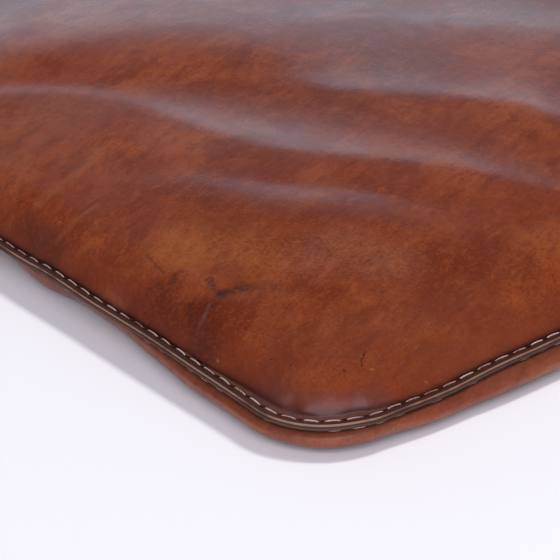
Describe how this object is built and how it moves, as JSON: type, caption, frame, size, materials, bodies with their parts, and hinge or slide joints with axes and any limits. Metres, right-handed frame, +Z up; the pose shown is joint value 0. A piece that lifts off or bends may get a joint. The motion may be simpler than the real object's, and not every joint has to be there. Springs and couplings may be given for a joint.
{
  "type": "padded leather cushion",
  "caption": "Flat rectangular seat or floor cushion: two leather covers sewn edge to edge with an outward, raw-edged lockstitched seam round a stuffed canvas case.",
  "frame": {"origin": "on the ground plane, at the middle of the bounding box's underside", "axes": "+X along the cushion's length, +Y along its width, +Z up through its thickness, out of the upper cover"},
  "size_m": [0.56, 0.46, 0.0453],
  "materials": {
    "upper_leather": "waxed cognac leather, semi-gloss, with a worn patina",
    "lower_leather": "darker brown leather, satin",
    "linen_thread": "waxed linen thread, matt",
    "canvas": "unbleached plain-weave canvas, matt",
    "cotton_thread": "matt cotton thread",
    "cotton_wadding": "soft cotton felt, matt",
    "curled_hair": "loose curled hair, matt"
  },
  "bodies": {
    "root": {"top_cover": "upper_leather", "bottom_cover": "lower_leather", "needle_thread": "linen_thread", "bobbin_thread": "linen_thread", "ticking_upper": "canvas", "ticking_lower": "canvas", "ticking_thread": "cotton_thread", "wadding_upper": "cotton_wadding", "wadding_lower": "cotton_wadding", "hair_core": "curled_hair"}
  },
  "joints": []
}
